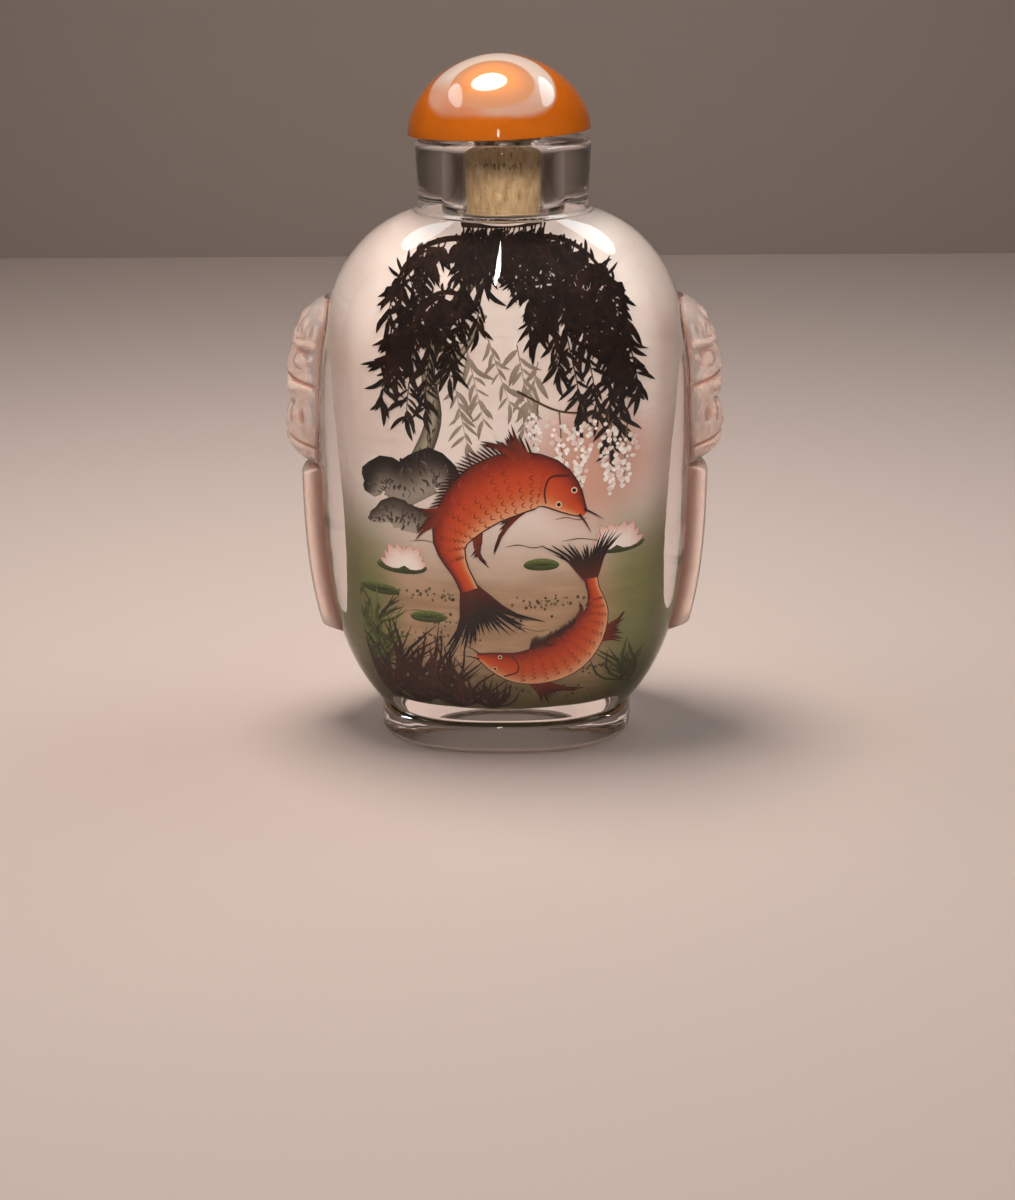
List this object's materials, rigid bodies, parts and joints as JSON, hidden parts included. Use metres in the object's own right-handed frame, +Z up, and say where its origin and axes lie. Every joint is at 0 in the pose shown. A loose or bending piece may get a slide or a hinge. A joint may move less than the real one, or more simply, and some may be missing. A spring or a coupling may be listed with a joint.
{
  "type": "snuff bottle",
  "caption": "Flattened clear-glass snuff bottle with carved mask-and-strap sides, a cork and a domed agate top.",
  "frame": {"origin": "middle of the flat underside of the foot, at the bottom centre of the whole part's box", "axes": "+Z up through the neck; the broad painted faces look along -Y and +Y; the carved sides look along -X and +X"},
  "size_m": [0.0552, 0.0272, 0.0848],
  "materials": {
    "glass": "polished clear glass",
    "agate": "polished orange agate with a white ring",
    "cork": "bare cork with small dark pores",
    "painting": "frosted inner wall with a painted scene"
  },
  "bodies": {
    "root": {"bottle": "glass", "stopper_top": "agate", "stopper_cork": "cork"}
  },
  "joints": []
}
